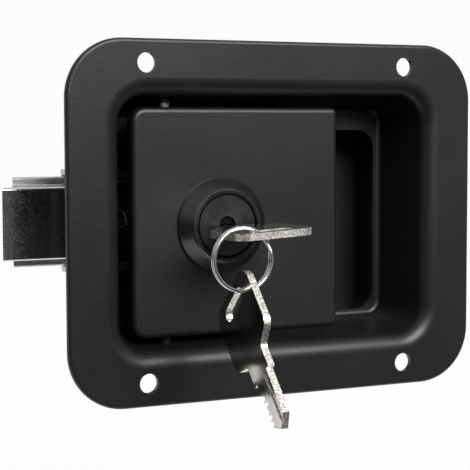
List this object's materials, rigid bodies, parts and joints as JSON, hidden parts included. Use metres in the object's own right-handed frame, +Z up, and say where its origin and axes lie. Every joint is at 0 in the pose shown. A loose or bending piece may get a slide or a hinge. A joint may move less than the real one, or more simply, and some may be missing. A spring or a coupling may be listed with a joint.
{
  "type": "paddle latch",
  "caption": "Flush paddle latch: pressed black pan with a hinged paddle, keyed lock, sprung slam bolt with a ramped tip, finger pocket, and keys on a split ring.",
  "frame": {"origin": "centre of the flange's rear face, where the latch sits on the door skin", "axes": "+X along the flange away from the bolt, +Y back into the door, +Z up"},
  "size_m": [0.1303, 0.0843, 0.0952],
  "materials": {
    "pan_black": "black powder coat with a fine texture, low sheen",
    "cover_black": "black powder coat, low sheen",
    "guide_zinc": "bright zinc plate",
    "rivet_steel": "plated steel",
    "bolt_zinc": "bright zinc plate over coined sheet, light spangle",
    "spring_steel": "drawn spring wire",
    "rod_steel": "turned steel",
    "paddle_black": "black powder coat with a fine texture, low sheen",
    "pin_steel": "plated steel wire",
    "clip_steel": "phosphated spring steel",
    "arm_zinc": "bright zinc plate",
    "lock_black": "black finish over a turned die casting, satin",
    "washer_steel": "zinc plated",
    "nut_steel": "zinc plated",
    "plug_black": "black finish over a turned die casting, satin",
    "wafer_brass": "stamped brass",
    "cam_zinc": "bright zinc plate",
    "screw_steel": "plated screw",
    "key_nickel": "nickel plated brass blank",
    "ring_steel": "bright plated spring wire",
    "spare_nickel": "nickel plated brass blank"
  },
  "bodies": {
    "base": {"pan": "pan_black", "rear_cover": "cover_black", "bolt_guide": "guide_zinc", "guide_rivets": "rivet_steel", "spring_rod": "rod_steel", "bolt_spring": "spring_steel", "hinge_pin": "pin_steel", "upper_pin_clip": "clip_steel", "lower_pin_clip": "clip_steel"},
    "bolt_body": {"bolt": "bolt_zinc"},
    "paddle_body": {"paddle": "paddle_black", "paddle_arm": "arm_zinc", "lock_body": "lock_black", "lock_washer": "washer_steel", "lock_nut": "nut_steel"},
    "plug_body": {"lock_plug": "plug_black", "lock_wafers": "wafer_brass", "cam": "cam_zinc", "cam_screw": "screw_steel"},
    "key_body": {"key": "key_nickel"},
    "ring_body": {"split_ring": "ring_steel"},
    "spare_body": {"spare_key": "spare_nickel"}
  },
  "joints": [
    {"name": "paddle_swing", "type": "hinge", "parent": "base", "child": "paddle_body", "pos_m": [-0.0302, 0.0077, 0], "axis": [0, 0, -1], "range_deg": [0, 38], "stiffness_Nm_per_rad": 0.26, "springref_deg": -34.38},
    {"name": "bolt_slide", "type": "slide", "parent": "base", "child": "bolt_body", "axis": [1, 0, 0], "range_m": [0, 0.01064], "deforming": ["bolt_spring"]},
    {"name": "plug_turn", "type": "hinge", "parent": "paddle_body", "child": "plug_body", "pos_m": [-0.016, 0, -0.001], "axis": [0, 1, 0], "range_deg": [-90, 0]},
    {"name": "key_pull", "type": "slide", "parent": "plug_body", "child": "key_body", "axis": [0, -1, 0], "range_m": [0, 0.0155]},
    {"name": "ring_swing", "type": "hinge", "parent": "key_body", "child": "ring_body", "pos_m": [-0.0224, -0.02385, -0.0012], "axis": [1, 0, 0], "range_deg": [-12, 12]},
    {"name": "spare_swing", "type": "hinge", "parent": "ring_body", "child": "spare_body", "pos_m": [-0.0224, -0.02385, -0.01665], "axis": [1, 0, 0], "range_deg": [-15, 30]}
  ],
  "couplings": [
    {"joint": "bolt_slide", "follows": "paddle_swing", "m_per_rad": 0.01605}
  ]
}
